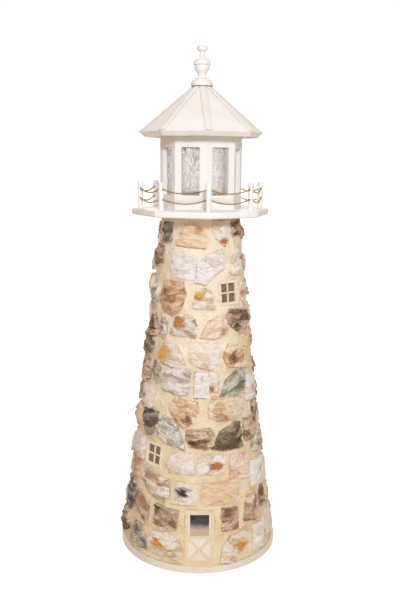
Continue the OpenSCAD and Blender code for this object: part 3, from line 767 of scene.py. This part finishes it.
# Hip strips: thin caps folded over the hips, lying on both boards and bedded a little into them,
# with painted shade along their chamfered edges, for the shadow in the joint
hips = {"count": 8, "wide": 22 * mm, "thick": 2.0 * mm, "lip": 0.7 * mm, "chamfer": 1.2 * mm, "bed": 0.6 * mm,
        "inset": 0.4 * mm, "ease": 0.3 * mm, "flush": 0.05 * mm,
        "slope": (0.5, 0.95), "edge": 0.05, "top": 0.6}  # how far up a normal points: board, edge, and the top that is not painted with shade


def boardSlope(i):  # a roof board's outer face: normal, a point on it, way out, and reach at the eave
    mesh = nodes[f"roof_panel_{i}"].data
    low, high = hips["slope"]
    outer = max([face for face in mesh.polygons if low < face.normal.z < high], key=lambda face: face.area)
    normal = outer.normal.copy()
    away = Vector((normal.x, normal.y, 0)).normalized()
    point = mesh.vertices[outer.vertices[0]].co.copy()
    near = [vert.co for vert in mesh.vertices if abs((vert.co - point).dot(normal)) < hips["flush"]]
    return normal, point, away, max(co.dot(away) for co in near) - hips["inset"]


def addHipStrip(bm, left, right, top):  # the section at the eave, drawn up along the hip
    normals = [left[0], right[0]]
    along = normals[0].cross(normals[1]).normalized()
    along *= math.copysign(1, along.z)
    planes = Matrix((normals[0], normals[1], (0, 0, 1)))
    crest = planes.inverted() @ Vector((normals[0].dot(left[1]), normals[1].dot(right[1]), top))
    fold = (normals[0] + normals[1]) / (1 + normals[0].dot(normals[1]))
    half = hips["wide"] / 2

    def atEave(board, place):
        return bm.verts.new(place + along * ((board[3] - place.dot(board[2])) / along.dot(board[2])))

    middle = [atEave(left, crest + fold * lift) for lift in (hips["thick"], -hips["bed"])]
    ends = []
    for board, other in ((left, right), (right, left)):
        out = along.cross(board[0])
        out *= -math.copysign(1, out.dot(other[0]))
        steps = [(half, -hips["bed"]), (half, hips["lip"]), (half - hips["chamfer"], hips["thick"])]
        side = [atEave(board, crest + out * across + board[0] * lift) for across, lift in steps]
        ends.append(bm.faces.new(side + middle))
    grown = bmesh.ops.extrude_face_region(bm, geom=ends, use_keep_orig=True)["geom"]
    for vert in [item for item in grown if isinstance(item, bmesh.types.BMVert)]:
        vert.co += along * ((top - vert.co.z) / along.z)


def makeHipStrips():  # one strip, then the rest by turning it
    bm = bmesh.new()
    addHipStrip(bm, boardSlope(8), boardSlope(1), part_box("roof_hip_strips")[1][2])
    bmesh.ops.recalc_face_normals(bm, faces=bm.faces)
    upper = [edge for edge in bm.edges if min(face.normal.z for face in edge.link_faces) > hips["edge"]]
    long = [edge for edge in upper if edge.calc_length() > 2 * hips["wide"]]
    bmesh.ops.bevel(bm, geom=long, offset=hips["ease"], affect="EDGES", segments=2, profile=0.5, material=-1)
    # the top takes the clean enamel, and the edges and sides take the painted shade
    for face in bm.faces:
        face.material_index = 0 if face.normal.z > hips["top"] else 1
    whole = bm.verts[:] + bm.edges[:] + bm.faces[:]
    more = hips["count"] - 1
    bmesh.ops.spin(bm, geom=whole, cent=(0, 0, 0), axis=(0, 0, 1), angle=2 * math.pi * more / hips["count"],
                   steps=more, use_duplicate=True)
    piece = addPiece("roof_hip_strips_eased", bm, [hipEnamel, jointShadeEnamel], smooth=22)
    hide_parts("roof_hip_strips")


makeHipStrips()
print("hip strips bedded")


# Finial: turned like its solid, with the facets smoothed and the vase drawn in more towards its waist
# Vase gives its part of the height, and higher how much a higher ring is favoured as its lip.
finial = {"draw": 1.5, "vase": (0.15, 0.6), "higher": 0.01}


def makeFinial():
    bm = copySolid("roof_finial")
    radii = {}
    for vert in bm.verts:
        level = round(vert.co.z / mm, 2)
        radii[level] = max(Vector(vert.co[:2]).length / mm, radii.get(level, 0))
    low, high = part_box("roof_finial")
    start, end = finial["vase"]
    levels = [z for z in radii if start < (z * mm - low[2]) / (high[2] - low[2]) < end]
    lip = max(levels, key=lambda z: radii[z] + (z - low[2] / mm) * finial["higher"])
    waist = min([z for z in levels if z < lip], key=lambda z: radii[z])
    for vert in bm.verts:
        share = (vert.co.z / mm - waist) / (lip - waist)
        out = Vector(vert.co[:2]).length / mm
        if 0 < share < 1 and out:
            swell = math.sin(share * math.pi / 2) ** finial["draw"]
            want = radii[waist] + (radii[lip] - radii[waist]) * swell
            vert.co.x *= min(want / out, 1.0)
            vert.co.y *= min(want / out, 1.0)
    piece = addPiece("roof_finial_turned", bm, [boardEnamel], smooth=38)
    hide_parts("roof_finial")


makeFinial()


# The joint under the finial, where bare wood and glue show and the joint's shadow is painted in
joint = {"inset": 1.5 * mm, "deep": 6 * mm, "tall": 1.6 * mm, "foot": 0.4 * mm, "sides": 64}


def makeFinialJoint():
    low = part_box("roof_finial")[0]
    foot = [vert.co for vert in nodes["roof_finial"].data.vertices if vert.co.z < low[2] + joint["foot"]]
    radius = max(Vector((co.x, co.y)).length for co in foot) + joint["inset"]
    inner = radius - joint["deep"]
    bm = bmesh.new()
    corners = [(inner, 0), (radius, 0), (radius, joint["tall"]), (inner, joint["tall"])]
    line = [bm.verts.new((out, 0, low[2] + up)) for out, up in corners]
    edges = [bm.edges.new(pair) for pair in zip(line, line[1:] + line[:1])]
    bmesh.ops.spin(bm, geom=line + edges, cent=(0, 0, 0), axis=(0, 0, 1), angle=2 * math.pi,
                   steps=joint["sides"], use_merge=True)
    bmesh.ops.recalc_face_normals(bm, faces=bm.faces)
    addPiece("finial_joint", bm, [jointGlueAndShade], smooth=40)


makeFinialJoint()
print("finial turned and set")


# Window bars: an upright and a cross bar on the front of each pane
bars = {"wide": 4.5 * mm, "deep": 4 * mm, "ease": 0.6 * mm}


def makeWindowBars(name):
    place = openings[name + "_window_frame"]["place"]
    low, high = cornersFrom(place, name + "_window_pane")
    middle = ((low.x + high.x) / 2, low.y - bars["deep"] / 2, (low.z + high.z) / 2)
    bm = bmesh.new()
    for size in ((bars["wide"], bars["deep"], high.z - low.z), (high.x - low.x, bars["deep"], bars["wide"])):
        box = bmesh.ops.create_cube(bm, size=1.0)["verts"]
        bmesh.ops.scale(bm, vec=size, verts=box)
        bmesh.ops.translate(bm, vec=middle, verts=box)
    bmesh.ops.bevel(bm, geom=bm.edges[:], offset=bars["ease"], affect="EDGES", segments=2, profile=0.5,
                    material=-1)
    bmesh.ops.transform(bm, matrix=place, verts=bm.verts)
    addPiece(name + "_window_bars", bm, [sashEnamel], smooth=22)


makeWindowBars("upper")
makeWindowBars("lower")
print("window bars set")


# Rail chains: brass bead chain, each long bead joined to the next by a short pin. They go through the
# posts' holes.
chain = {"bead": 4.6 * mm, "long": 4.8 * mm, "pitch": 8.0 * mm, "pin": 2.6 * mm,
         "round": 8, "rings": 6, "pinSides": 5, "points": 40}


def makeBead(bm):  # one long bead with its poles along X, and the pin that leads to the next
    bead = bmesh.ops.create_uvsphere(bm, u_segments=chain["round"], v_segments=chain["rings"],
                                     radius=chain["bead"] / 2)["verts"]
    bmesh.ops.scale(bm, vec=(1, 1, chain["long"] / chain["bead"]), verts=bead)
    pin = bmesh.ops.create_cone(bm, segments=chain["pinSides"], radius1=chain["pin"] / 2,
                                radius2=chain["pin"] / 2, depth=chain["pitch"], cap_ends=True)["verts"]
    bmesh.ops.translate(bm, verts=pin, vec=(0, 0, chain["pitch"] / 2))
    # the pins take the dark brass that is painted shade between the beads
    for face in {face for vert in pin for face in vert.link_faces}:
        face.material_index = 1
    bmesh.ops.rotate(bm, verts=bead + pin, cent=(0, 0, 0), matrix=Matrix.Rotation(math.pi / 2, 3, "Y"))


def chainLine(node):  # the middle of the chain, from post to post with its sag
    low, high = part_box(node)
    top = high[2] - chain["bead"] / 2
    sag = high[2] - low[2] - chain["bead"]
    posts = []
    for i in range(1, 9):
        postLow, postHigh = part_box(f"rail_post_{i}")
        posts.append((Vector(postLow) + Vector(postHigh)) / 2)
    clear = (postHigh[0] - postLow[0] + chain["bead"]) / 2  # the chain leaves a post level, then sags
    line = []
    for post, onward in zip(posts, posts[1:] + posts[:1]):
        leave = post + clear * Vector((-post.y, post.x, 0)).normalized()
        arrive = onward - clear * Vector((-onward.y, onward.x, 0)).normalized()
        for k in range(chain["points"]):
            share = k / (chain["points"] - 1)
            point = leave.lerp(arrive, share)
            line.append(Vector((point.x, point.y, top - 4 * sag * share * (1 - share))))
    return line


def makeChain(name, node):
    line = chainLine(node)
    line.append(line[0])
    lengths = [(b - a).length for a, b in zip(line, line[1:])]
    total = sum(lengths)
    count = round(total / chain["pitch"])
    one = bmesh.new()
    makeBead(one)
    pattern = bpy.data.meshes.new("bead")
    one.to_mesh(pattern)
    one.free()
    bm = bmesh.new()
    step, walked, leg = total / count, 0.0, 0
    for i in range(count):
        while walked + lengths[leg] < i * step:
            walked += lengths[leg]
            leg += 1
        middle = line[leg].lerp(line[leg + 1], (i * step - walked) / lengths[leg])
        ahead = (line[leg + 1] - line[leg]).normalized()
        across = ahead.cross(Vector((0, 0, 1))).normalized()
        turn = Matrix((ahead, across, ahead.cross(across))).transposed().to_4x4()
        before = len(bm.verts)
        bm.from_mesh(pattern)
        bm.verts.ensure_lookup_table()
        bmesh.ops.transform(bm, matrix=Matrix.Translation(middle) @ turn, verts=bm.verts[before:])
    bpy.data.meshes.remove(pattern)
    bmesh.ops.recalc_face_normals(bm, faces=bm.faces)
    piece = addPiece(name, bm, [beadBrass, pinShadeBrass], smooth=80)
    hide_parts(node)
    print(name, count, "beads,", round(total, 3), "m")


makeChain("upper_bead_chain", "upper_rail_chain")
makeChain("lower_bead_chain", "lower_rail_chain")


# Floor, light and camera
studio = {
    "floor": 30.0, "near": 0.5, "far": 2.5, "glow": 0.75, "floorColour": "#E2DBD2", "aim": (0, 0, 0.75),
    "worldLight": 0.4, "worldColour": "#FFE0C2", "worldOnView": 1.05,
    "key": {"place": (0.3, -3.4, 2.35), "size": 0.7, "power": 99.0, "colour": "#DFF0FF"},
    "fill": {"place": (-0.2, -2.2, 5.2), "size": 3.0, "power": 33.0, "colour": "#FFFBF6"},
    "back": {"place": (0.0, 3.8, 3.7), "size": 2.0, "power": 80.0, "colour": "#FFF8F0"},
}


def whiteOnView(tree):  # 1 where the eye, or a mirror or glass, looks straight at it
    path = addNode(tree, "LightPath")
    seen = path["Is Camera Ray"]
    for ray in ("Is Glossy Ray", "Is Transmission Ray"):
        seen = addNode(tree, "Math", {"operation": "ADD", "use_clamp": True},
                       {0: seen, 1: path[ray]})["Value"]
    return seen


# White paper sweep: matt, with no sheen, and white to the eye away from the part's shadow.
def makeFloor():
    bm = bmesh.new()
    bmesh.ops.create_grid(bm, x_segments=1, y_segments=1, size=studio["floor"])
    mesh = bpy.data.meshes.new("floor")
    bm.to_mesh(mesh)
    bm.free()
    floor = bpy.data.objects.new("floor", mesh)
    scene.collection.objects.link(floor)
    material, tree, shader, place = startMaterial("white_sweep", {
        "Base Color": rgb(studio["floorColour"]), "Roughness": 1.0, "Specular IOR Level": 0.0,
        "Emission Color": grey(1.0)})
    away = addNode(tree, "VectorMath", {"operation": "LENGTH"}, {0: place})["Value"]
    white = addNode(tree, "MapRange", {"From Min": studio["near"], "From Max": studio["far"],
                                       "To Min": studio["glow"]}, {"Value": away})["Result"]
    glow = addNode(tree, "Math", {"operation": "MULTIPLY"}, {0: white, 1: whiteOnView(tree)})["Value"]
    feed(tree, shader, {"Emission Strength": glow})
    mesh.materials.append(material)


def makeWorld():
    world = bpy.data.worlds.new("studio")
    scene.world = world
    world.use_nodes = True
    tree = world.node_tree
    back = tree.nodes["Background"].inputs
    seen = whiteOnView(tree)
    colour = addNode(tree, "MixRGB", {"Color1": rgb(studio["worldColour"]), "Color2": grey(1.0)},
                     {"Fac": seen})["Color"]
    level = addNode(tree, "MapRange", {"To Min": studio["worldLight"], "To Max": studio["worldOnView"]},
                    {"Value": seen})["Result"]
    feed(tree, back, {"Color": colour, "Strength": level})


def addLamp(name):
    setting = studio[name]
    lamp = bpy.data.lights.new(name, "AREA")
    lamp.shape = "DISK"
    lamp.size = setting["size"]
    lamp.energy = setting["power"]
    lamp.color = rgb(setting["colour"])[:3]
    holder = bpy.data.objects.new(name, lamp)
    scene.collection.objects.link(holder)
    holder.location = setting["place"]
    holder.rotation_euler = (Vector(studio["aim"]) - holder.location).to_track_quat("-Z", "Y").to_euler()


makeFloor()
makeWorld()
for name in ("key", "fill", "back"):
    addLamp(name)

# The camera stands where the photograph was taken from, a touch left of the door.
shot = {"away": 2206.8 * mm, "high": 1189.5 * mm, "aside": -1.2, "down": 10.71, "roll": 0.507,
        "focal": 731.9, "long": 600, "sensor": 36.0}  # focal and long in pixels
eye = bpy.data.cameras.new("camera")
eye.sensor_width = shot["sensor"]
eye.lens = shot["focal"] * shot["sensor"] / shot["long"]
camera = bpy.data.objects.new("camera", eye)
scene.collection.objects.link(camera)
camera.matrix_world = (Matrix.Rotation(math.radians(shot["aside"]), 4, "Z")
                       @ Matrix.Translation((0, -shot["away"], shot["high"]))
                       @ Matrix.Rotation(math.radians(90 - shot["down"]), 4, "X")
                       @ Matrix.Rotation(math.radians(shot["roll"]), 4, "Z"))
scene.camera = camera
scene.view_settings.view_transform = "Standard"
print("stage set")
